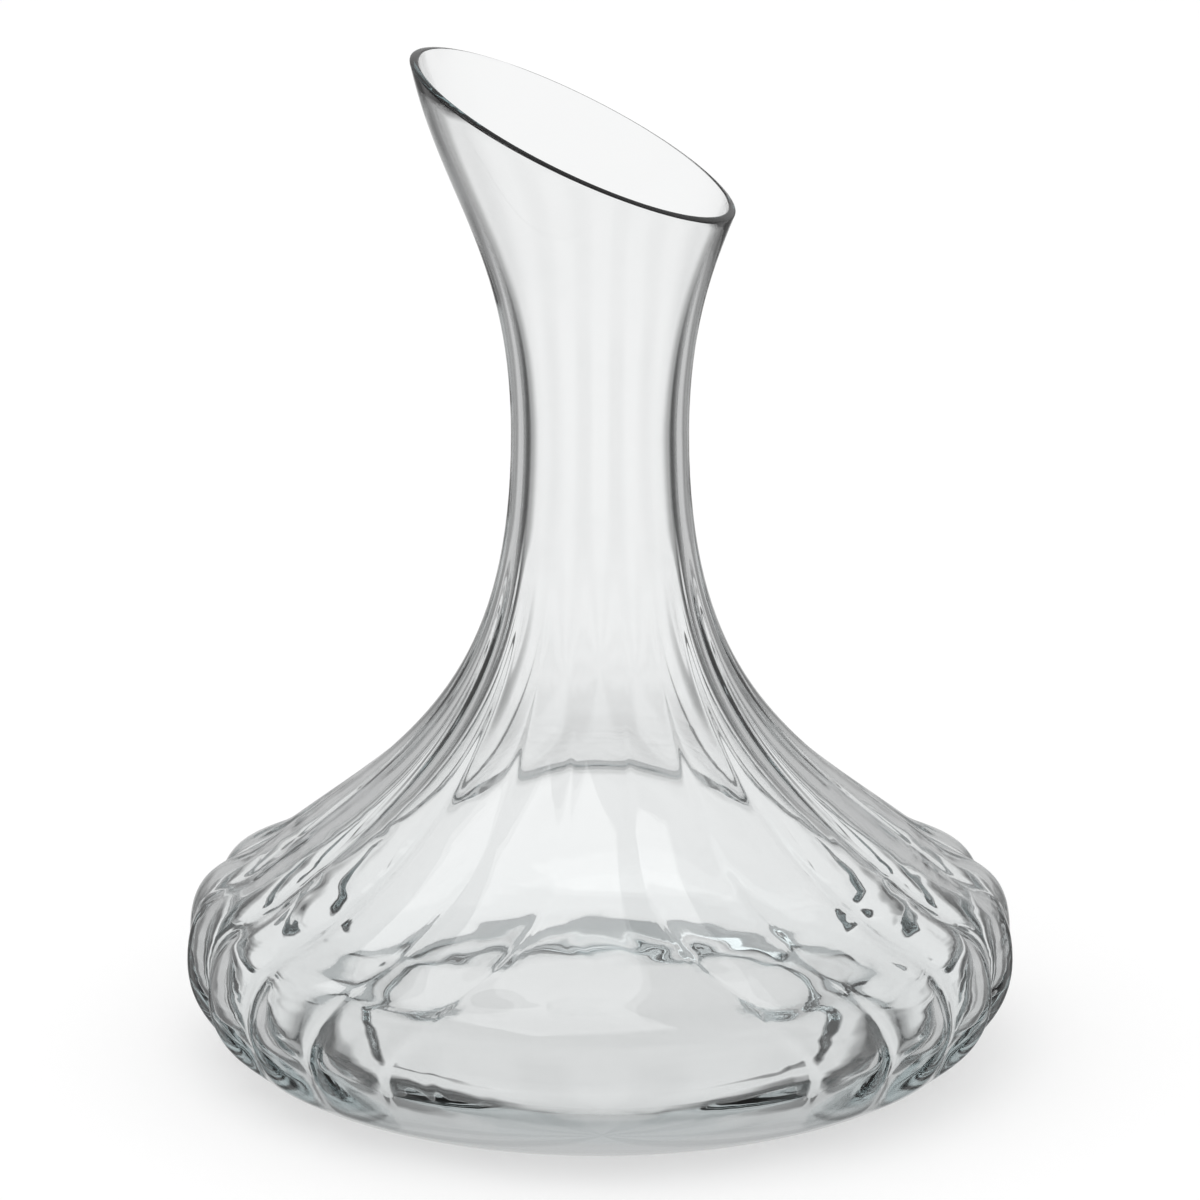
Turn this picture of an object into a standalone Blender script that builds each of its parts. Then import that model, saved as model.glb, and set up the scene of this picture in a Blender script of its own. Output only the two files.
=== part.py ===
"""A one-piece blown glass wine decanter: fluted body, slim neck and a mouth on a slant.

The decanter stands at the origin on its foot ring, with +Z up. The slanted mouth has its high lip
on the -X side and its low lip on the +X side, and one lobe's crest faces -Y. Metres throughout.
"""

import math

import bmesh
import bpy
import numpy as np
from mathutils import Vector
from mathutils.geometry import interpolate_bezier

# Driving dimensions of the outer surface, over the crests of the flutes.
BODY_RADIUS = 0.1045
BELT_HEIGHT = 0.026
FOOT_RADIUS = 0.079
SHOULDER_RADIUS = 0.0865
SHOULDER_HEIGHT = 0.0475
SHOULDER_SLOPE = math.radians(39.5)
WAIST_RADIUS = 0.0222
WAIST_HEIGHT = 0.161
FLARE_RADIUS = 0.0482
FLARE_HEIGHT = 0.264
FLARE_SLOPE = math.radians(9)

# How far each span of the outline is drawn out by its Bezier handles, from the foot upwards.
HEEL_PULLS = (0.009, 0.018)
BELT_PULLS = (0.0175, 0.0115)
SHOULDER_PULLS = (0.0445, 0.069)
FLARE_PULLS = (0.0505, 0.040)

# The mouth: the height at which its plane crosses the axis, and how far that plane falls towards +X.
MOUTH_HEIGHT = 0.2344
MOUTH_SLOPE = math.radians(25.7)

# Wall thicknesses, from the heavy belt to the fine lip.
BELT_WALL = 0.0042
SHOULDER_WALL = 0.0033
WAIST_WALL = 0.0029
LIP_WALL = 0.0020

# The base: floor inside, and a foot ring with a shallow hollow, the punt, underneath.
FLOOR_HEIGHT = 0.0042
FLOOR_RADIUS = 0.062
INNER_HEEL_PULLS = (0.014, 0.018)
FOOT_RING_WIDTH = 0.017
PUNT_DEPTH = 0.0012
PUNT_EDGE = 0.005

# The flutes: lobes with a narrow valley between each two. They start just above the foot, are deepest
# at the belt and are gone by the neck.
FLUTES = 18
FLUTE_DEPTH = 0.0046
FLUTE_FOOT = 0.002
FLUTE_RISE = 0.015
FLUTE_TOP = 0.138
FLUTE_FADE = 1.7
VALLEY_SOFTNESS = 0.2

# The valleys that lie at the sides, on the mould's seam, are shallower: the share of the depth that is
# lost there, and how far to the front and back that reaches, as the cosine of the angle from the front.
SEAM_LOSS = 0.55
SEAM_REACH = 0.3

# On their way down from the shoulder the flutes fan out: the lobes that face -Y and +Y grow wide and
# push the others towards the sides. This is how far the wide lobes' valleys move.
FAN_ANGLE = math.radians(22)
FAN_TOP = 0.066
FAN_FOOT = 0.018

# How finely the solid is cut up.
STEPS_PER_FLUTE = 6
HEEL_POINTS = 5
BELT_POINTS = 4
SHOULDER_POINTS = 7
FLARE_POINTS = 6
LIP_POINTS = 3
INNER_HEEL_POINTS = 5
CURVE_SAMPLES = 200

AXIS_MERGE = 0.00002
SLOPE_REACH = 0.0005
MOUTH_PASSES = 40
SHARP_ANGLE = math.radians(50)


def bezier_span(start, start_pull, end_pull, end, count):
    """Points (radius, height) along one cubic span, both ends included."""
    corners = [Vector((r, z)) for r, z in (start, start_pull, end_pull, end)]
    return [(point.x, point.y) for point in interpolate_bezier(*corners, count)]


def outer_spans(counts):
    """The outer outline as four spans: heel, belt, shoulder and flare, each with its own count."""
    foot = (FOOT_RADIUS, 0.0)
    belt = (BODY_RADIUS, BELT_HEIGHT)
    shoulder = (SHOULDER_RADIUS, SHOULDER_HEIGHT)
    waist = (WAIST_RADIUS, WAIST_HEIGHT)
    flare = (FLARE_RADIUS, FLARE_HEIGHT)
    inward, upward = -math.cos(SHOULDER_SLOPE), math.sin(SHOULDER_SLOPE)

    def along_shoulder(pull):
        return (SHOULDER_RADIUS + pull * inward, SHOULDER_HEIGHT + pull * upward)

    heel_out = (FOOT_RADIUS + HEEL_PULLS[0], 0.0)
    heel_up = (BODY_RADIUS, BELT_HEIGHT - HEEL_PULLS[1])
    belt_up = (BODY_RADIUS, BELT_HEIGHT + BELT_PULLS[0])
    waist_down = (WAIST_RADIUS, WAIST_HEIGHT - SHOULDER_PULLS[1])
    waist_up = (WAIST_RADIUS, WAIST_HEIGHT + FLARE_PULLS[0])
    flare_down = (
        FLARE_RADIUS - FLARE_PULLS[1] * math.sin(FLARE_SLOPE),
        FLARE_HEIGHT - FLARE_PULLS[1] * math.cos(FLARE_SLOPE),
    )
    return [
        bezier_span(foot, heel_out, heel_up, belt, counts[0]),
        bezier_span(belt, belt_up, along_shoulder(-BELT_PULLS[1]), shoulder, counts[1]),
        bezier_span(shoulder, along_shoulder(SHOULDER_PULLS[0]), waist_down, waist, counts[2]),
        bezier_span(waist, waist_up, flare_down, flare, counts[3]),
    ]


FINE_OUTLINE = np.array([p for span in outer_spans([CURVE_SAMPLES] * 4) for p in span])


def outer_radius(height):
    """The radius of the outer surface at a height, over the flutes' crests."""
    return float(np.interp(height, FINE_OUTLINE[:, 1], FINE_OUTLINE[:, 0]))


def wall_at(height):
    """The wall's thickness at a height."""
    heights = (BELT_HEIGHT, SHOULDER_HEIGHT, WAIST_HEIGHT, MOUTH_HEIGHT)
    return float(np.interp(height, heights, (BELT_WALL, SHOULDER_WALL, WAIST_WALL, LIP_WALL)))


def inset_point(radius, height):
    """The point of the inner surface behind a point of the outer one, square to the wall."""
    lean = outer_radius(height + SLOPE_REACH) - outer_radius(height - SLOPE_REACH)
    normal = Vector((2 * SLOPE_REACH, -lean)).normalized()
    wall = wall_at(height)
    return (radius - wall * normal.x, height - wall * normal.y)


def wall_points():
    """The outer surface's points from the foot to the mouth, before the mouth is slanted."""
    heel, belt, shoulder, _ = outer_spans((HEEL_POINTS, BELT_POINTS, SHOULDER_POINTS, 2))
    climb = (MOUTH_HEIGHT - WAIST_HEIGHT) / (FLARE_POINTS - 1)
    heights = [WAIST_HEIGHT + climb * i for i in range(1, FLARE_POINTS)]
    flare = [(outer_radius(height), height) for height in heights]
    return heel, belt[1:] + shoulder[1:] + flare


def turned_profile():
    """The closed half-section: floor centre, up the inside, over the lip, down the outside, punt centre."""
    heel, upper = wall_points()
    inner_wall = [inset_point(r, z) for r, z in [heel[-1], *upper]]
    inner_belt = inner_wall[0]
    inner_heel = bezier_span(
        (FLOOR_RADIUS, FLOOR_HEIGHT),
        (FLOOR_RADIUS + INNER_HEEL_PULLS[1], FLOOR_HEIGHT),
        (inner_belt[0], inner_belt[1] - INNER_HEEL_PULLS[0]),
        inner_belt,
        INNER_HEEL_POINTS,
    )
    outer_lip, inner_lip = Vector(upper[-1]), Vector(inner_wall[-1])
    centre, reach = (outer_lip + inner_lip) / 2, (outer_lip - inner_lip) / 2
    crown = Vector((-reach.y, reach.x))
    lip = []
    for i in range(1, LIP_POINTS + 1):
        turn = math.pi * i / (LIP_POINTS + 1)
        point = centre - reach * math.cos(turn) + crown * math.sin(turn)
        lip.append((point.x, point.y))
    ring_inside = FOOT_RADIUS - FOOT_RING_WIDTH
    underside = [(ring_inside, 0.0), (ring_inside - PUNT_EDGE, PUNT_DEPTH), (0.0, PUNT_DEPTH)]
    inside = [(0.0, FLOOR_HEIGHT), *inner_heel[:-1], *inner_wall]
    outside = upper[::-1] + heel[::-1]
    return inside + lip + outside + underside


def turn_profile(name, points, steps):
    """A mesh object turned from a half-section about the Z axis with a Screw modifier."""
    mesh = bpy.data.meshes.new(name)
    edges = [(i, i + 1) for i in range(len(points) - 1)]
    mesh.from_pydata([(r, 0.0, z) for r, z in points], edges, [])
    turned = bpy.data.objects.new(name, mesh)
    bpy.context.scene.collection.objects.link(turned)
    screw = turned.modifiers.new("turn", "SCREW")
    screw.axis = "Z"
    screw.angle = math.tau
    screw.steps = steps
    screw.render_steps = steps
    screw.use_merge_vertices = True
    screw.merge_threshold = AXIS_MERGE
    graph = bpy.context.evaluated_depsgraph_get()
    solid = bpy.data.meshes.new_from_object(turned.evaluated_get(graph))
    turned.modifiers.clear()
    turned.data = solid
    solid.name = name
    bpy.data.meshes.remove(mesh)
    return turned


def smooth_step(share):
    """0 below 0, 1 above 1, with an even start and end between."""
    share = min(max(share, 0.0), 1.0)
    return share * share * (3 - 2 * share)


def flute_shape(from_front):
    """How far towards its valley a lobe's round is: 0 on its crest, near 1 in the valley."""
    crest = math.cos(FLUTES / 2 * from_front)
    return 1 - math.sqrt((crest**2 + VALLEY_SOFTNESS**2) / (1 + VALLEY_SOFTNESS**2))


def flute_depth(radius, height):
    """The flutes' depth at a point of the wall. The inner surface's flutes start above the floor."""
    inside = smooth_step((outer_radius(height) - radius) / wall_at(height))
    fade = min(max((height - BELT_HEIGHT) / (FLUTE_TOP - BELT_HEIGHT), 0.0), 1.0)
    above_base = height - FLUTE_FOOT - inside * (FLOOR_HEIGHT - FLUTE_FOOT)
    return FLUTE_DEPTH * (1 - fade) ** FLUTE_FADE * smooth_step(above_base / FLUTE_RISE)


def seam_share(from_front):
    """The share of the flutes' depth that is left at an angle: less beside the mould's seam."""
    return 1 - SEAM_LOSS * (1 - smooth_step(abs(math.cos(from_front)) / SEAM_REACH))


def fan_drift(from_front, height):
    """How far round the body a point moves as the flutes fan out."""
    half_lobe = math.pi / FLUTES
    from_wide_lobe = (from_front + math.pi / 2) % math.pi - math.pi / 2
    if abs(from_wide_lobe) <= half_lobe:
        share = from_wide_lobe / half_lobe
    else:
        to_side = (math.pi / 2 - abs(from_wide_lobe)) / (math.pi / 2 - half_lobe)
        share = math.copysign(to_side, from_wide_lobe)
    return FAN_ANGLE * share * smooth_step((FAN_TOP - height) / (FAN_TOP - FAN_FOOT))


def press_flutes(mesh):
    """Moves each point inwards by the depth of the flute that it lies in, and round with the fan."""
    for vertex in mesh.vertices:
        radius = math.hypot(vertex.co.x, vertex.co.y)
        if radius < AXIS_MERGE:
            continue
        from_front = math.atan2(vertex.co.x, -vertex.co.y)
        depth = flute_depth(radius, vertex.co.z) * seam_share(from_front)
        pressed = radius - depth * flute_shape(from_front)
        fanned = from_front + fan_drift(from_front, vertex.co.z)
        vertex.co.x = pressed * math.sin(fanned)
        vertex.co.y = -pressed * math.cos(fanned)


def slant_mouth(mesh):
    """Stretches the flare up on the -X side and down on +X, until the lip lies in a slanted plane."""
    fall = math.tan(MOUTH_SLOPE)
    for vertex in mesh.vertices:
        if vertex.co.z <= WAIST_HEIGHT:
            continue
        radius = math.hypot(vertex.co.x, vertex.co.y)
        toward_low_side = vertex.co.x / radius
        inset = outer_radius(vertex.co.z) - radius
        share = (vertex.co.z - WAIST_HEIGHT) / (MOUTH_HEIGHT - WAIST_HEIGHT)
        mouth = MOUTH_HEIGHT
        for _ in range(MOUTH_PASSES):
            lip_radius = outer_radius(mouth) - inset
            mouth = (mouth + MOUTH_HEIGHT - fall * lip_radius * toward_low_side) / 2
        height = WAIST_HEIGHT + share * (mouth - WAIST_HEIGHT)
        stretched = outer_radius(height) - inset
        vertex.co.x *= stretched / radius
        vertex.co.y *= stretched / radius
        vertex.co.z = height


def clear_glass():
    """Colourless soda glass."""
    material = bpy.data.materials.new("clear_glass")
    material.use_nodes = True
    shader = material.node_tree.nodes["Principled BSDF"]
    shader.inputs["Base Color"].default_value = (0.93, 0.97, 0.97, 1.0)
    shader.inputs["Metallic"].default_value = 0.0
    shader.inputs["Roughness"].default_value = 0.02
    shader.inputs["IOR"].default_value = 1.5
    shader.inputs["Transmission Weight"].default_value = 1.0
    return material


def glass_vessel():
    """The whole decanter: one hollow glass body, open at the mouth."""
    vessel = turn_profile("glass_vessel", turned_profile(), FLUTES * STEPS_PER_FLUTE)
    press_flutes(vessel.data)
    slant_mouth(vessel.data)
    outward = bmesh.new()
    outward.from_mesh(vessel.data)
    bmesh.ops.recalc_face_normals(outward, faces=outward.faces)
    outward.to_mesh(vessel.data)
    outward.free()
    vessel.data.shade_smooth()
    vessel.data.set_sharp_from_angle(angle=SHARP_ANGLE)
    vessel.data.materials.append(clear_glass())
    return vessel


def clear_scene():
    """Removes whatever the scene holds."""
    for obj in list(bpy.data.objects):
        bpy.data.objects.remove(obj, do_unlink=True)


def main():
    clear_scene()
    decanter = bpy.data.collections.new("wine_decanter")
    bpy.context.scene.collection.children.link(decanter)
    vessel = glass_vessel()
    bpy.context.scene.collection.objects.unlink(vessel)
    decanter.objects.link(vessel)


main()
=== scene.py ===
"""The looks of a blown glass wine decanter, with the pale studio that it is shown in.

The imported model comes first, as a fixed frame. The plain glass solid is then replaced by a finely
turned vessel of the same size, dressed in clear glass, and stood on a pale floor.
"""

from __future__ import annotations

import logging
import math
from dataclasses import dataclass, field
from enum import Enum
from typing import Any, Sequence

import bmesh
import bpy
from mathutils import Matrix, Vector
from mathutils.geometry import interpolate_bezier


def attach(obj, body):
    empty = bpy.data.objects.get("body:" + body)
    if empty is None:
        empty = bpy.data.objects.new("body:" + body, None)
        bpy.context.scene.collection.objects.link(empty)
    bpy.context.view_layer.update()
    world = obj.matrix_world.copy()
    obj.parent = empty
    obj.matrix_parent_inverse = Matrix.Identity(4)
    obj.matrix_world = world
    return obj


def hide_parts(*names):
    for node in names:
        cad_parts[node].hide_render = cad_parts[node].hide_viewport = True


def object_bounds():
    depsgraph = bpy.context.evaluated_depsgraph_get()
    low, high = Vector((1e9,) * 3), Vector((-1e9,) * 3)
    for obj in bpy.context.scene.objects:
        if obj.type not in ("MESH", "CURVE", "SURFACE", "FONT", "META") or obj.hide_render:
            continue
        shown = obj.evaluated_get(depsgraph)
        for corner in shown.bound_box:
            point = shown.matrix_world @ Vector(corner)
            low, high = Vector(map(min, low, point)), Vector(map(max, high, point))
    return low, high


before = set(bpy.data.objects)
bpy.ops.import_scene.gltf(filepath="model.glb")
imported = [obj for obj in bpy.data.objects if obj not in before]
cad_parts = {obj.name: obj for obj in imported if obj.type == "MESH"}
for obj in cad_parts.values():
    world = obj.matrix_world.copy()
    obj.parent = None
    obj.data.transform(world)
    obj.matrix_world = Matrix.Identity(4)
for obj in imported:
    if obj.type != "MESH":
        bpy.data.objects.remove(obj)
CAD_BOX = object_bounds()

LOG = logging.getLogger("decanter")

Point = tuple[float, float]
Colour = tuple[float, float, float, float]

WHITE: Colour = (1.0, 1.0, 1.0, 1.0)


# ------------------------------------------------------------------------------------------------
# Shader building
# ------------------------------------------------------------------------------------------------


@dataclass(frozen=True)
class Wire:
    """An output socket that can be used in arithmetic."""

    board: "NodeBoard"
    socket: bpy.types.NodeSocket | None

    def __add__(self, other: "Wire | float") -> "Wire":
        """Returns the sum."""
        return self.board.maths("ADD", self, other)

    def __radd__(self, other: float) -> "Wire":
        """Returns the sum, with the number first."""
        return self.board.maths("ADD", other, self)

    def __rsub__(self, other: float) -> "Wire":
        """Returns the difference, with the number first."""
        return self.board.maths("SUBTRACT", other, self)

    def __mul__(self, other: "Wire | float") -> "Wire":
        """Returns the product."""
        return self.board.maths("MULTIPLY", self, other)

    def __rmul__(self, other: float) -> "Wire":
        """Returns the product, with the number first."""
        return self.board.maths("MULTIPLY", other, self)

    def ramp(self, low: float, high: float) -> "Wire":
        """Turns a value into a smooth 0 to 1.

        Args:
            low: The value that gives 0.
            high: The value that gives 1.

        Returns:
            The eased share between the two.
        """
        return self.board.node(
            "ShaderNodeMapRange",
            {"interpolation_type": "SMOOTHSTEP"},
            {"Value": self, "From Min": low, "From Max": high},
        )


class NodeBoard:
    """A node tree with short ways to add and link its nodes."""

    def __init__(self, tree: bpy.types.NodeTree) -> None:
        """Empties a node tree.

        Args:
            tree: The tree to build in.
        """
        self.tree = tree
        tree.nodes.clear()

    def node(
        self,
        kind: str,
        settings: dict[str, Any] | None = None,
        inputs: dict[str | int, Any] | None = None,
        output: str | int = 0,
    ) -> Wire:
        """Adds a node, sets it and feeds its sockets.

        Args:
            kind: The node's type.
            settings: The node's own settings, set before its sockets.
            inputs: Values or wires by socket name or number.
            output: Which output to hand back.

        Returns:
            The chosen output.
        """
        made = self.tree.nodes.new(kind)
        for name, value in (settings or {}).items():
            setattr(made, name, value)
        for name, value in (inputs or {}).items():
            if isinstance(value, Wire):
                self.tree.links.new(value.socket, made.inputs[name])
            else:
                made.inputs[name].default_value = value
        return Wire(self, made.outputs[output]) if made.outputs else Wire(self, None)

    def maths(self, operation: str, *values: "Wire | float") -> Wire:
        """Adds a Math node and returns its result."""
        return self.node("ShaderNodeMath", {"operation": operation}, dict(enumerate(values)))

    def mix(self, share: Wire, first: Any, second: Any) -> Wire:
        """Mixes two colours.

        Args:
            share: How much of the second colour there is.
            first: The colour or wire at 0.
            second: The colour or wire at 1.

        Returns:
            The mixed colour.
        """
        return self.node(
            "ShaderNodeMix",
            {"data_type": "RGBA"},
            {0: share, 6: first, 7: second},
            output=2,
        )


# ------------------------------------------------------------------------------------------------
# Finishes
# ------------------------------------------------------------------------------------------------


@dataclass(frozen=True)
class ClearGlass:
    """Colourless blown glass, greyer low down where the wall is thick, with the faint relief of a mould.
    Under the foot it is greyer still: painted shade that stands in for the shadowed floor seen through
    the foot.

    A little dried film on the walls and scuffs under the foot keep it from being a perfect mirror.
    """

    thin: Colour = (0.972, 0.974, 0.974, 1.0)
    thick: Colour = (0.93, 0.935, 0.935, 1.0)
    # Painted shade: the grey under the foot stands in for the shadowed floor seen through it.
    painted_foot_shade: Colour = (0.86, 0.866, 0.866, 1.0)
    refraction: float = 1.5
    neck: tuple[float, float] = (0.05, 0.11)
    # Heights over which the painted shade under the foot fades into the wall's tint.
    underside: tuple[float, float] = (0.0035, 0.0065)
    band_start: tuple[float, float] = (0.008, 0.02)
    band_end: tuple[float, float] = (0.045, 0.09)
    strata_scale: tuple[float, float, float] = (14.0, 14.0, 110.0)
    strata_distortion: float = 0.6
    strata_share: float = 0.30
    swirl_scale: float = 60.0
    swirl_distortion: float = 1.4
    swirl_share: float = 0.10
    swell_scale: float = 22.0
    swell_share: float = 0.4
    ripple_height: float = 0.0011
    film_scale: float = 45.0
    film_edge: tuple[float, float] = (0.5, 0.75)
    film_tint: float = 0.35
    scuff_edge: tuple[float, float] = (0.0004, 0.0012)
    film_roughness: float = 0.01
    scuff_roughness: float = 0.08
    clean_roughness: float = 0.003
    depth_colour: Colour = (0.66, 0.79, 0.81, 1.0)
    depth_density: float = 9.0

    def ripples(self, board: NodeBoard, place: Wire, height: Wire) -> Wire:
        """Draws the relief of the blown surface.

        Args:
            board: The material's tree.
            place: The point on the piece.
            height: Its height above the foot.

        Returns:
            The height of the relief, about 0 to 1.
        """
        in_band = height.ramp(*self.band_start) * (1 - height.ramp(*self.band_end))
        swell = board.node(
            "ShaderNodeTexNoise", {}, {"Vector": place, "Scale": self.swell_scale, "Detail": 1.0}
        )
        strata_place = board.node(
            "ShaderNodeMapping", {}, {"Vector": place, "Scale": self.strata_scale}
        )
        strata = board.node(
            "ShaderNodeTexNoise",
            {},
            {
                "Vector": strata_place,
                "Scale": 1.0,
                "Detail": 1.0,
                "Distortion": self.strata_distortion,
            },
        )
        swirls = board.node(
            "ShaderNodeTexNoise",
            {},
            {
                "Vector": place,
                "Scale": self.swirl_scale,
                "Detail": 0.0,
                "Distortion": self.swirl_distortion,
            },
        )
        layers = strata * in_band * self.strata_share + swirls * in_band * self.swirl_share
        return layers + swell * self.swell_share

    def material(self) -> bpy.types.Material:
        """Makes the glass.

        Returns:
            The finished material.
        """
        glass = bpy.data.materials.new("clear_glass_finish")
        glass.use_nodes = True
        board = NodeBoard(glass.node_tree)
        place = board.node("ShaderNodeTexCoord", output="Object")
        height = board.node("ShaderNodeSeparateXYZ", {}, {0: place}, output="Z")
        waves = board.node(
            "ShaderNodeBump",
            {},
            {
                "Strength": 1.0,
                "Distance": self.ripple_height,
                "Height": self.ripples(board, place, height),
            },
            output="Normal",
        )
        smear = board.node(
            "ShaderNodeTexNoise", {}, {"Vector": place, "Scale": self.film_scale, "Detail": 3.0}
        )
        film = smear.ramp(*self.film_edge)
        wall = board.mix(height.ramp(*self.neck), self.thick, self.thin)
        wall = board.mix(film * self.film_tint, wall, self.thick)
        # Under the foot the tint turns to painted shade, a grey for the shadowed floor seen through it.
        tint_and_foot_shade = board.mix(height.ramp(*self.underside), self.painted_foot_shade, wall)
        scuffs = 1 - height.ramp(*self.scuff_edge)
        wear = film * self.film_roughness + scuffs * self.scuff_roughness
        shader = board.node(
            "ShaderNodeBsdfPrincipled",
            {},
            {
                "Base Color": tint_and_foot_shade,
                "Roughness": wear + self.clean_roughness,
                "IOR": self.refraction,
                "Transmission Weight": 1.0,
                "Normal": waves,
            },
        )
        depth = board.node(
            "ShaderNodeVolumeAbsorption",
            {},
            {"Color": self.depth_colour, "Density": self.depth_density},
        )
        board.node("ShaderNodeOutputMaterial", {}, {"Surface": shader, "Volume": depth})
        return glass


@dataclass(frozen=True)
class PalePaper:
    """A matt studio floor with the faintest mottle, which glows a little so that shadows on it stay
    soft: painted light that fills in its shadows.
    """

    light: Colour = (0.40, 0.40, 0.40, 1.0)
    dark: Colour = (0.39, 0.39, 0.39, 1.0)
    mottle_scale: float = 3.0
    roughness: float = 0.9
    # The floor's own glow: painted light that lifts the shadows on it.
    glow: float = 0.56

    def material(self) -> bpy.types.Material:
        """Makes the floor's paper.

        Returns:
            The finished material.
        """
        paper = bpy.data.materials.new("studio_paper")
        paper.use_nodes = True
        board = NodeBoard(paper.node_tree)
        place = board.node("ShaderNodeTexCoord", output="Object")
        mottle = board.node(
            "ShaderNodeTexNoise", {}, {"Vector": place, "Scale": self.mottle_scale, "Detail": 2.0}
        )
        tone = board.mix(mottle, self.dark, self.light)
        shader = board.node(
            "ShaderNodeBsdfPrincipled",
            {},
            {
                "Base Color": tone,
                "Roughness": self.roughness,
                "Emission Color": WHITE,
                "Emission Strength": self.glow,
            },
        )
        board.node("ShaderNodeOutputMaterial", {}, {"Surface": shader})
        return paper


# ------------------------------------------------------------------------------------------------
# The glass vessel
# ------------------------------------------------------------------------------------------------


def ease(share: float) -> float:
    """Returns 0 below 0, 1 above 1, with an even start and end between."""
    share = min(max(share, 0.0), 1.0)
    return share * share * (3 - 2 * share)


def between(value: float, stops: Sequence[Point]) -> float:
    """Reads a value off a line of straight runs.

    Args:
        value: Where to read.
        stops: The corners of the line, in rising order.

    Returns:
        The line's height there, level beyond its ends.
    """
    if value <= stops[0][0]:
        return stops[0][1]
    for (start, low), (end, high) in zip(stops, stops[1:]):
        if value <= end:
            return low + (high - low) * (value - start) / (end - start)
    return stops[-1][1]


class Span(Enum):
    """The four curves that the outline is made of, from the foot up."""

    HEEL = 0
    BELT = 1
    SHOULDER = 2
    FLARE = 3


@dataclass
class Outline:
    """The outer half-section of the vessel, over the crests of its flutes, as four Bezier spans."""

    body_radius: float = 0.1045
    belt_height: float = 0.026
    foot_radius: float = 0.079
    shoulder: Point = (0.0865, 0.0475)
    shoulder_slope: float = math.radians(39.5)
    waist: Point = (0.0222, 0.161)
    flare: Point = (0.0482, 0.264)
    flare_slope: float = math.radians(9)
    heel_pulls: Point = (0.009, 0.018)
    belt_pulls: Point = (0.0175, 0.0115)
    shoulder_pulls: Point = (0.0445, 0.069)
    flare_pulls: Point = (0.0505, 0.040)
    samples: int = 400
    heights: list[float] = field(default_factory=list)
    radii: list[float] = field(default_factory=list)

    def __post_init__(self) -> None:
        """Lays out a fine copy of the outline, to read radii from."""
        for span in Span:
            drawn = self.span(span, self.samples)
            for radius, height in drawn if span is Span.HEEL else drawn[1:]:
                self.radii.append(radius)
                self.heights.append(height)

    def on_shoulder(self, pull: float) -> Point:
        """Returns the point of the shoulder's slope a distance up from its middle."""
        return (
            self.shoulder[0] - pull * math.cos(self.shoulder_slope),
            self.shoulder[1] + pull * math.sin(self.shoulder_slope),
        )

    def span(self, which: Span, count: int) -> list[Point]:
        """Draws one span.

        Args:
            which: The span.
            count: How many points it has, both ends included.

        Returns:
            Its points as (radius, height).
        """
        belt = (self.body_radius, self.belt_height)
        corners = {
            Span.HEEL: (
                (self.foot_radius, 0.0),
                (self.foot_radius + self.heel_pulls[0], 0.0),
                (self.body_radius, self.belt_height - self.heel_pulls[1]),
                belt,
            ),
            Span.BELT: (
                belt,
                (self.body_radius, self.belt_height + self.belt_pulls[0]),
                self.on_shoulder(-self.belt_pulls[1]),
                self.shoulder,
            ),
            Span.SHOULDER: (
                self.shoulder,
                self.on_shoulder(self.shoulder_pulls[0]),
                (self.waist[0], self.waist[1] - self.shoulder_pulls[1]),
                self.waist,
            ),
            Span.FLARE: (
                self.waist,
                (self.waist[0], self.waist[1] + self.flare_pulls[0]),
                (
                    self.flare[0] - self.flare_pulls[1] * math.sin(self.flare_slope),
                    self.flare[1] - self.flare_pulls[1] * math.cos(self.flare_slope),
                ),
                self.flare,
            ),
        }[which]
        drawn = interpolate_bezier(*[Vector(corner).to_3d() for corner in corners], count)
        return [(point.x, point.y) for point in drawn]

    def radius(self, height: float) -> float:
        """Reads the outer radius.

        Args:
            height: The height above the foot.

        Returns:
            The radius over the flutes' crests.
        """
        heights = self.heights
        if height <= heights[0]:
            return self.radii[0]
        if height >= heights[-1]:
            return self.radii[-1]
        low, high = 0, len(heights) - 1
        while high - low > 1:
            middle = (low + high) // 2
            if heights[middle] <= height:
                low = middle
            else:
                high = middle
        share = (height - heights[low]) / (heights[high] - heights[low])
        return self.radii[low] + share * (self.radii[high] - self.radii[low])


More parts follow.
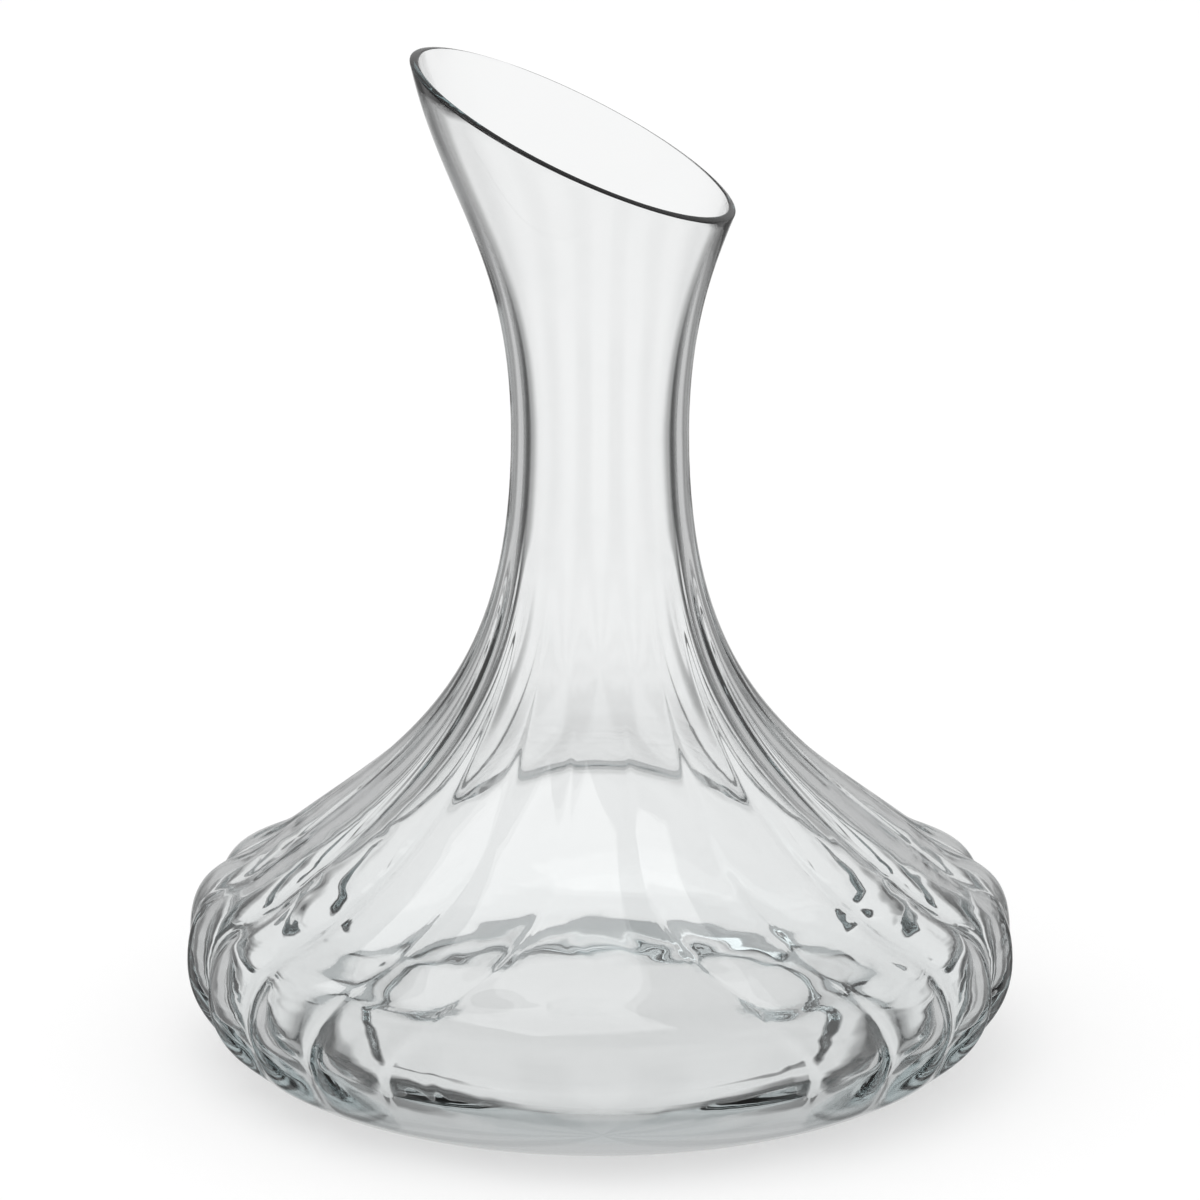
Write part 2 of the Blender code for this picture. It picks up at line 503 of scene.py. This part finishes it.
@dataclass
class Flutes:
    """The lobes pressed round the body, with a narrow valley between each two.

    The lobes that face the front and the back grow wide on their way down and push the others
    towards the sides.
    """

    count: int = 18
    depth: float = 0.0046
    foot: float = 0.002
    rise: float = 0.015
    top: float = 0.138
    fade: float = 1.7
    softness: float = 0.2
    seam_loss: float = 0.55
    seam_reach: float = 0.3
    fan_angle: float = math.radians(22)
    fan_top: float = 0.066
    fan_foot: float = 0.018

    def shape(self, from_front: float) -> float:
        """Returns how far towards its valley a lobe's round is: 0 on its crest, near 1 in the valley."""
        crest = math.cos(self.count / 2 * from_front)
        return 1 - math.sqrt((crest**2 + self.softness**2) / (1 + self.softness**2))

    def depth_at(self, height: float, start: float, belt: float) -> float:
        """Says how deep the valleys are.

        Args:
            height: The height above the foot.
            start: The height at which this surface's flutes start.
            belt: The height of the body's widest part, where the valleys are deepest.

        Returns:
            The depth of a valley.
        """
        fade = min(max((height - belt) / (self.top - belt), 0.0), 1.0)
        return self.depth * (1 - fade) ** self.fade * ease((height - start) / self.rise)

    def seam_share(self, from_front: float) -> float:
        """Returns the share of the depth that is left at an angle: less beside the mould's seam."""
        return 1 - self.seam_loss * (1 - ease(abs(math.cos(from_front)) / self.seam_reach))

    def drift(self, from_front: float, height: float) -> float:
        """Says how far round the body a point moves as the flutes fan out.

        Args:
            from_front: Its angle from the front.
            height: Its height above the foot.

        Returns:
            The angle that it moves by.
        """
        half_lobe = math.pi / self.count
        from_wide_lobe = (from_front + math.pi / 2) % math.pi - math.pi / 2
        if abs(from_wide_lobe) <= half_lobe:
            share = from_wide_lobe / half_lobe
        else:
            to_side = (math.pi / 2 - abs(from_wide_lobe)) / (math.pi / 2 - half_lobe)
            share = math.copysign(to_side, from_wide_lobe)
        opened = ease((self.fan_top - height) / (self.fan_top - self.fan_foot))
        return self.fan_angle * share * opened


@dataclass
class GlassVessel:
    """The decanter itself: one blown wall, turned, fluted and cut on a slant at the mouth."""

    outline: Outline = field(default_factory=Outline)
    flutes: Flutes = field(default_factory=Flutes)
    mouth_height: float = 0.2344
    mouth_slope: float = math.radians(25.7)
    walls: tuple[float, float, float, float] = (0.0042, 0.0033, 0.0029, 0.0020)
    floor_height: float = 0.0042
    floor_radius: float = 0.062
    inner_heel_pulls: Point = (0.014, 0.018)
    ring_width: float = 0.017
    punt_depth: float = 0.0012
    punt_edge: float = 0.005
    lip_crown: float = 0.5
    lip_squareness: float = 0.55
    lip_points: int = 9
    curve_points: int = 26
    belt_points: int = 18
    shoulder_points: int = 38
    floor_points: int = 6
    ring_points: int = 4
    hollow_points: int = 5
    columns: int = 396
    mouth_passes: int = 24
    slope_reach: float = 0.0005
    axis_reach: float = 0.00002
    merge_reach: float = 0.000004
    body: str = "root"
    node: str = "glass_vessel"
    slot: str = "clear_glass"

    def wall(self, height: float) -> float:
        """Returns the wall's thickness at a height."""
        line = self.outline
        heights = (line.belt_height, line.shoulder[1], line.waist[1], self.mouth_height)
        return between(height, list(zip(heights, self.walls)))

    def inset(self, radius: float, height: float) -> Point:
        """Finds the inner surface behind a point of the outer one.

        Args:
            radius: The outer point's radius.
            height: The outer point's height.

        Returns:
            The inner point, square to the wall.
        """
        reach = self.slope_reach
        lean = self.outline.radius(height + reach) - self.outline.radius(height - reach)
        normal = Vector((2 * reach, -lean)).normalized()
        wall = self.wall(height)
        return (radius - wall * normal.x, height - wall * normal.y)

    def lip(self, outer: Point, inner: Point) -> list[Point]:
        """Rounds the lip over.

        Args:
            outer: The top of the outer surface.
            inner: The top of the inner surface.

        Returns:
            The round's points, from the inside to the outside.
        """
        centre = (Vector(outer) + Vector(inner)) / 2
        reach = (Vector(outer) - Vector(inner)) / 2
        crown = Vector((-reach.y, reach.x)) * self.lip_crown
        rounds = []
        for i in range(1, self.lip_points + 1):
            turn = math.pi * i / (self.lip_points + 1)
            across = math.copysign(abs(math.cos(turn)) ** self.lip_squareness, math.cos(turn))
            rise = math.sin(turn) ** self.lip_squareness
            rounds.append(centre - reach * across + crown * rise)
        return [(point.x, point.y) for point in rounds]

    def half_section(self) -> list[Point]:
        """Draws the closed half-section.

        Returns:
            Points from the floor's centre up the inside, over the lip and down to the punt's centre.
        """
        line = self.outline
        heel = line.span(Span.HEEL, self.curve_points)
        belt = line.span(Span.BELT, self.belt_points)[1:]
        shoulder = line.span(Span.SHOULDER, self.shoulder_points)[1:]
        climb = (self.mouth_height - line.waist[1]) / self.curve_points
        heights = [line.waist[1] + climb * i for i in range(1, self.curve_points + 1)]
        upper = belt + shoulder + [(line.radius(height), height) for height in heights]
        inner_wall = [self.inset(*point) for point in [heel[-1], *upper]]
        inner_belt = inner_wall[0]
        inner_heel = interpolate_bezier(
            Vector((self.floor_radius, self.floor_height, 0)),
            Vector((self.floor_radius + self.inner_heel_pulls[1], self.floor_height, 0)),
            Vector((inner_belt[0], inner_belt[1] - self.inner_heel_pulls[0], 0)),
            Vector((*inner_belt, 0)),
            self.curve_points,
        )
        floor = [
            (self.floor_radius * i / self.floor_points, self.floor_height)
            for i in range(self.floor_points)
        ]
        inside = floor + [(point.x, point.y) for point in inner_heel[:-1]] + inner_wall
        lip = self.lip(upper[-1], inner_wall[-1])
        return inside + lip + upper[::-1] + heel[::-1] + self.underside()

    def underside(self) -> list[Point]:
        """Draws the foot from its outer edge inwards.

        Returns:
            Points across the ring's face, up its inner edge and along the hollow to the axis.
        """
        foot = self.outline.foot_radius
        ring = foot - self.ring_width
        face = [
            (foot - self.ring_width * i / self.ring_points, 0.0)
            for i in range(1, self.ring_points + 1)
        ]
        step = [
            (
                ring - self.punt_edge * i / self.floor_points,
                self.punt_depth * ease(i / self.floor_points),
            )
            for i in range(1, self.floor_points + 1)
        ]
        hollow = [
            ((ring - self.punt_edge) * i / self.hollow_points, self.punt_depth)
            for i in range(self.hollow_points - 1, -1, -1)
        ]
        return face + step + hollow

    def turn(self, points: Sequence[Point]) -> bpy.types.Object:
        """Draws the half-section by extruding a point, and spins it about the upright axis.

        Args:
            points: The half-section's points.

        Returns:
            The turned object, smooth and with its faces pointing out.
        """
        bpy.ops.object.select_all(action="DESELECT")
        radius, height = points[0]
        bpy.ops.mesh.primitive_plane_add(size=0.001, location=(radius, 0.0, height))
        turned = bpy.context.object
        turned.name = "decanter_glass"
        bpy.ops.object.transform_apply(location=True, rotation=True, scale=True)
        bpy.ops.object.mode_set(mode="EDIT")
        bpy.ops.mesh.select_all(action="SELECT")
        bpy.ops.mesh.merge(type="CENTER")
        for (old_radius, old_height), (radius, height) in zip(points, points[1:]):
            step = (radius - old_radius, 0.0, height - old_height)
            bpy.ops.mesh.extrude_region_move(TRANSFORM_OT_translate={"value": step})
        bpy.ops.mesh.select_all(action="SELECT")
        bpy.ops.mesh.spin(
            steps=self.columns, angle=math.tau, center=(0.0, 0.0, 0.0), axis=(0.0, 0.0, 1.0)
        )
        bpy.ops.mesh.select_all(action="SELECT")
        bpy.ops.mesh.remove_doubles(threshold=self.merge_reach)
        bpy.ops.mesh.normals_make_consistent(inside=False)
        bpy.ops.object.mode_set(mode="OBJECT")
        return turned

    def press_flutes(self, mesh: bpy.types.Mesh) -> None:
        """Presses the flutes into both faces of the wall.

        Args:
            mesh: The turned mesh, which is changed.
        """
        line = self.outline
        for vertex in mesh.vertices:
            radius = math.hypot(vertex.co.x, vertex.co.y)
            if radius < self.axis_reach:
                continue
            height = vertex.co.z
            from_front = math.atan2(vertex.co.x, -vertex.co.y)
            inside = ease((line.radius(height) - radius) / self.wall(height))
            start = self.flutes.foot + inside * (self.floor_height - self.flutes.foot)
            depth = self.flutes.depth_at(height, start, line.belt_height)
            depth *= self.flutes.seam_share(from_front)
            pressed = radius - depth * self.flutes.shape(from_front)
            fanned = from_front + self.flutes.drift(from_front, height)
            vertex.co.x = pressed * math.sin(fanned)
            vertex.co.y = -pressed * math.cos(fanned)

    def slant_mouth(self, mesh: bpy.types.Mesh) -> None:
        """Stretches the flare up on one side and down on the other, until the lip lies in a slant.

        Args:
            mesh: The fluted mesh, which is changed.
        """
        line = self.outline
        waist = line.waist[1]
        fall = math.tan(self.mouth_slope)
        for vertex in mesh.vertices:
            if vertex.co.z <= waist:
                continue
            radius = math.hypot(vertex.co.x, vertex.co.y)
            toward_low_side = vertex.co.x / radius
            inset = line.radius(vertex.co.z) - radius
            share = (vertex.co.z - waist) / (self.mouth_height - waist)
            mouth = self.mouth_height
            for _ in range(self.mouth_passes):
                lip_radius = line.radius(mouth) - inset
                mouth = (mouth + self.mouth_height - fall * lip_radius * toward_low_side) / 2
            height = waist + share * (mouth - waist)
            stretched = (line.radius(height) - inset) / radius
            vertex.co = Vector((vertex.co.x * stretched, vertex.co.y * stretched, height))

    def build(self) -> bpy.types.Object:
        """Makes the vessel.

        Returns:
            The finished piece, riding on its body.
        """
        vessel = self.turn(self.half_section())
        self.press_flutes(vessel.data)
        self.slant_mouth(vessel.data)
        bpy.ops.object.select_all(action="DESELECT")
        vessel.select_set(True)
        bpy.context.view_layer.objects.active = vessel
        bpy.ops.object.shade_smooth()
        self.face_outwards(vessel.data)
        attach(vessel, self.body)
        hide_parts(self.node)
        return vessel

    @staticmethod
    def face_outwards(mesh: bpy.types.Mesh) -> None:
        """Turns all faces of a closed mesh outwards."""
        shell = bmesh.new()
        shell.from_mesh(mesh)
        if shell.calc_volume(signed=True) < 0:
            bmesh.ops.reverse_faces(shell, faces=shell.faces)
        shell.to_mesh(mesh)
        shell.free()

    @staticmethod
    def dress(vessel: bpy.types.Object, finish: ClearGlass) -> None:
        """Gives the vessel its glass."""
        vessel.data.materials.clear()
        vessel.data.materials.append(finish.material())


# ------------------------------------------------------------------------------------------------
# The studio
# ------------------------------------------------------------------------------------------------


@dataclass
class PaleFloor:
    """A plain pale floor under the decanter, wide enough to fill the view behind it."""

    size: float = 40.0
    gap: float = 0.0002

    def build(self) -> bpy.types.Object:
        """Lays the floor just under the foot.

        Returns:
            The floor.
        """
        bpy.ops.object.select_all(action="DESELECT")
        lowest = CAD_BOX[0][2]
        bpy.ops.mesh.primitive_plane_add(size=self.size, location=(0.0, 0.0, lowest - self.gap))
        floor = bpy.context.object
        floor.name = "pale_floor"
        bpy.ops.object.transform_apply(location=True, rotation=True, scale=True)
        floor.data.materials.append(PalePaper().material())
        floor.visible_transmission = False
        floor.visible_glossy = False
        return floor


@dataclass
class SoftboxRing:
    """Soft light from all round: a ring of eight white softboxes with narrow dark gaps between.

    Only the glass shows the gaps. The floor and the view behind it are evenly white, and light
    that has been mirrored in the glass meets a dimmer and flatter ring.
    """

    boxes: int = 8
    white: float = 1.0
    shade: float = 0.4
    dark: float = 0.03
    shade_edge: tuple[float, float] = (9.5, 14.0)
    dark_edge: tuple[float, float] = (6.5, 9.5)
    level_with_eye: tuple[float, float] = (-9.0, 3.0)
    upper: float = 0.86
    top_edge: tuple[float, float] = (12.0, 34.0)
    top: float = 0.7
    foot_edge: tuple[float, float] = (-34.0, -56.0)
    foot: float = 0.88
    gleam: float = 0.2
    gleam_contrast: float = 0.42

    def build(self) -> bpy.types.World:
        """Makes the world's light.

        Returns:
            The scene's world.
        """
        world = bpy.data.worlds.new("softbox_ring")
        world.use_nodes = True
        board = NodeBoard(world.node_tree)
        glass_light = board.node(
            "ShaderNodeBackground", {}, {"Color": WHITE, "Strength": self.level(board)}
        )
        plain = board.node("ShaderNodeBackground", {}, {"Color": WHITE, "Strength": self.white})
        by_eye = board.node("ShaderNodeLightPath", output="Is Camera Ray")
        by_floor = board.node("ShaderNodeLightPath", output="Is Diffuse Ray")
        evenly = board.maths("MAXIMUM", by_eye, by_floor)
        both = board.node("ShaderNodeMixShader", {}, {0: evenly, 1: glass_light, 2: plain})
        board.node("ShaderNodeOutputWorld", {}, {"Surface": both})
        bpy.context.scene.world = world
        return world

    def level(self, board: NodeBoard) -> Wire:
        """Says how bright each direction is through the glass.

        Args:
            board: The world's tree.

        Returns:
            The brightness.
        """
        toward = board.node("ShaderNodeTexCoord", output="Generated")
        east, north, up = self.split(board, toward)
        turn = board.maths("DEGREES", board.maths("ARCTAN2", east, north))
        rise = board.maths("DEGREES", board.maths("ARCSINE", up))
        half_box = 180 / self.boxes
        from_box = board.maths("PINGPONG", turn + 360.0, half_box)
        from_gap = half_box - from_box
        ring = self.shade + from_gap.ramp(*self.shade_edge) * (self.white - self.shade)
        ring = ring * (self.dark + from_gap.ramp(*self.dark_edge) * (1 - self.dark))
        above = rise.ramp(*self.level_with_eye)
        ceiling = self.upper - rise.ramp(*self.top_edge) * (self.upper - self.top)
        level = ring * (1 - above) + ceiling * above
        below = (-1.0 * rise).ramp(-self.foot_edge[0], -self.foot_edge[1])
        level = level * (1 - below * (1 - self.foot))
        thrown_back = board.node("ShaderNodeLightPath", output="Glossy Depth")
        mirrored = board.maths("MINIMUM", thrown_back, 1.0)
        gleam = level * self.gleam_contrast + self.gleam
        return level * (1 - mirrored) + mirrored * gleam

    @staticmethod
    def split(board: NodeBoard, toward: Wire) -> tuple[Wire, Wire, Wire]:
        """Splits a direction into its three parts.

        Args:
            board: The tree that it is in.
            toward: The direction.

        Returns:
            Its X, Y and Z.
        """
        parts = board.node("ShaderNodeSeparateXYZ", {}, {0: toward}).socket.node.outputs
        return Wire(board, parts["X"]), Wire(board, parts["Y"]), Wire(board, parts["Z"])


@dataclass
class OverheadSoftbox:
    """One wide softbox overhead, for the floor's light and a soft shadow under the decanter."""

    watts: float = 9.0
    width: float = 1.6
    place: tuple[float, float, float] = (-0.35, -0.15, 1.9)
    aim_height: float = 0.05

    def build(self) -> bpy.types.Object:
        """Hangs the softbox.

        Returns:
            The light.
        """
        light = bpy.data.lights.new("overhead_softbox", "AREA")
        light.shape = "SQUARE"
        light.size = self.width
        light.energy = self.watts
        lamp = bpy.data.objects.new("overhead_softbox", light)
        bpy.context.scene.collection.objects.link(lamp)
        lamp.location = self.place
        aim = Vector((0.0, 0.0, self.aim_height)) - lamp.location
        lamp.rotation_euler = aim.to_track_quat("-Z", "Y").to_euler()
        return lamp


@dataclass
class StudioCamera:
    """A long lens that looks down a little at the decanter from the front."""

    distance: float = 3.0
    elevation: float = math.radians(17.9)
    look_height: float = 0.1173
    lens: float = 360.0
    sensor: float = 36.0
    far_clip: float = 100.0

    def build(self) -> bpy.types.Object:
        """Sets up the camera and makes it the scene's.

        Returns:
            The camera.
        """
        camera = bpy.data.cameras.new("studio_camera")
        camera.lens = self.lens
        camera.sensor_width = self.sensor
        camera.clip_end = self.far_clip
        stand = bpy.data.objects.new("studio_camera", camera)
        bpy.context.scene.collection.objects.link(stand)
        back = self.distance * math.cos(self.elevation)
        rise = self.distance * math.sin(self.elevation)
        stand.location = (0.0, -back, self.look_height + rise)
        stand.rotation_euler = (math.pi / 2 - self.elevation, 0.0, 0.0)
        bpy.context.scene.camera = stand
        return stand


def let_light_wander(scene: bpy.types.Scene, bounces: int = 32) -> None:
    """Lets light pass enough walls of glass before it is given up.

    Args:
        scene: The scene.
        bounces: How many faces it may meet.
    """
    scene.cycles.max_bounces = bounces
    scene.cycles.transmission_bounces = bounces
    scene.cycles.glossy_bounces = bounces // 2


def main() -> None:
    """Builds the studio, then the decanter, and reports each piece."""
    logging.basicConfig(level=logging.INFO, format="%(name)s: %(message)s")
    StudioCamera().build()
    LOG.info("camera set")
    PaleFloor().build()
    SoftboxRing().build()
    OverheadSoftbox().build()
    bpy.context.scene.view_settings.view_transform = "Standard"
    let_light_wander(bpy.context.scene)
    LOG.info("studio lit")
    maker = GlassVessel()
    vessel = maker.build()
    maker.dress(vessel, ClearGlass())
    LOG.info("%s: %d faces", vessel.name, len(vessel.data.polygons))


if __name__ == "__main__":
    main()
